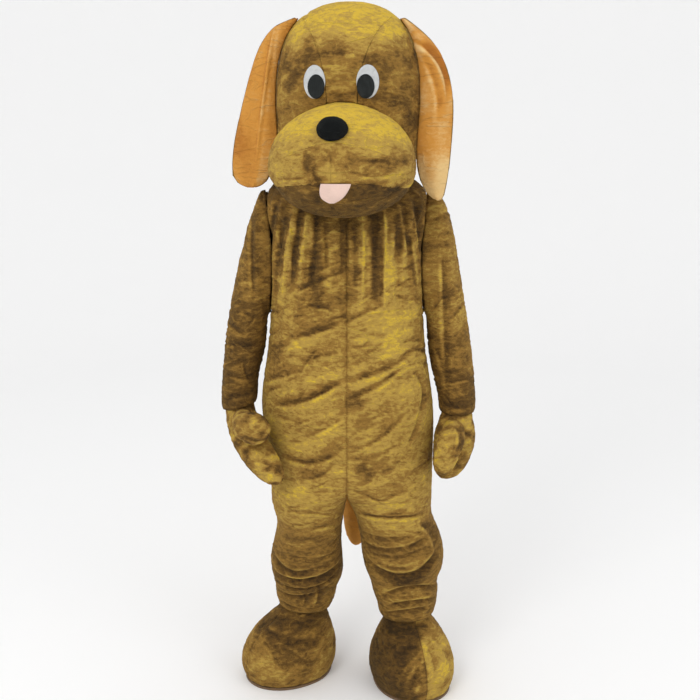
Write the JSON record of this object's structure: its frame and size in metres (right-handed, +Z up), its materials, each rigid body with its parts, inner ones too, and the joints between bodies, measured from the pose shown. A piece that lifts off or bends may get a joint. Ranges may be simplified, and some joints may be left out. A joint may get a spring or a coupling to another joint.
{
  "type": "full-body dog costume",
  "caption": "Hollow plush dog costume in its worn form, with a big head, gathered one-piece suit, mitts, foot covers and a tail.",
  "frame": {"origin": "between the wearer's shoulders, on the middle line, level with the shoulder points of the suit", "axes": "+Z up, -Y the front that the dog faces, +X the wearer's left"},
  "size_m": [0.679, 0.672, 1.8282],
  "materials": {
    "plush_gold": "short pile, brushed, golden brown",
    "plush_peach": "short pile, soft orange",
    "plush_black": "short pile, matte black",
    "felt_pink": "plain felt",
    "eye_white": "satin",
    "eye_mesh": "fine dark mesh",
    "sole_vinyl": "coated cloth"
  },
  "bodies": {
    "root": {"back_left": "plush_gold", "back_right": "plush_gold", "cheek_left": "plush_gold", "cheek_right": "plush_gold", "chin": "plush_gold", "ear_left_back": "plush_gold", "ear_left_face": "plush_peach", "ear_right_back": "plush_gold", "ear_right_face": "plush_peach", "eye_white_left": "eye_white", "eye_white_right": "eye_white", "foot_left_inner": "plush_gold", "foot_left_outer": "plush_gold", "foot_right_inner": "plush_gold", "foot_right_outer": "plush_gold", "forehead": "plush_gold", "front_left": "plush_gold", "front_right": "plush_gold", "head_back": "plush_gold", "head_side_left": "plush_gold", "head_side_right": "plush_gold", "mitt_left": "plush_gold", "mitt_right": "plush_gold", "muzzle_top": "plush_gold", "neckband": "plush_gold", "nose": "plush_black", "pupil_left": "eye_mesh", "pupil_right": "eye_mesh", "sleeve_left": "plush_gold", "sleeve_right": "plush_gold", "sole_left": "sole_vinyl", "sole_right": "sole_vinyl", "tail": "plush_peach", "thumb_left": "plush_gold", "thumb_right": "plush_gold", "tongue": "felt_pink"}
  },
  "joints": []
}
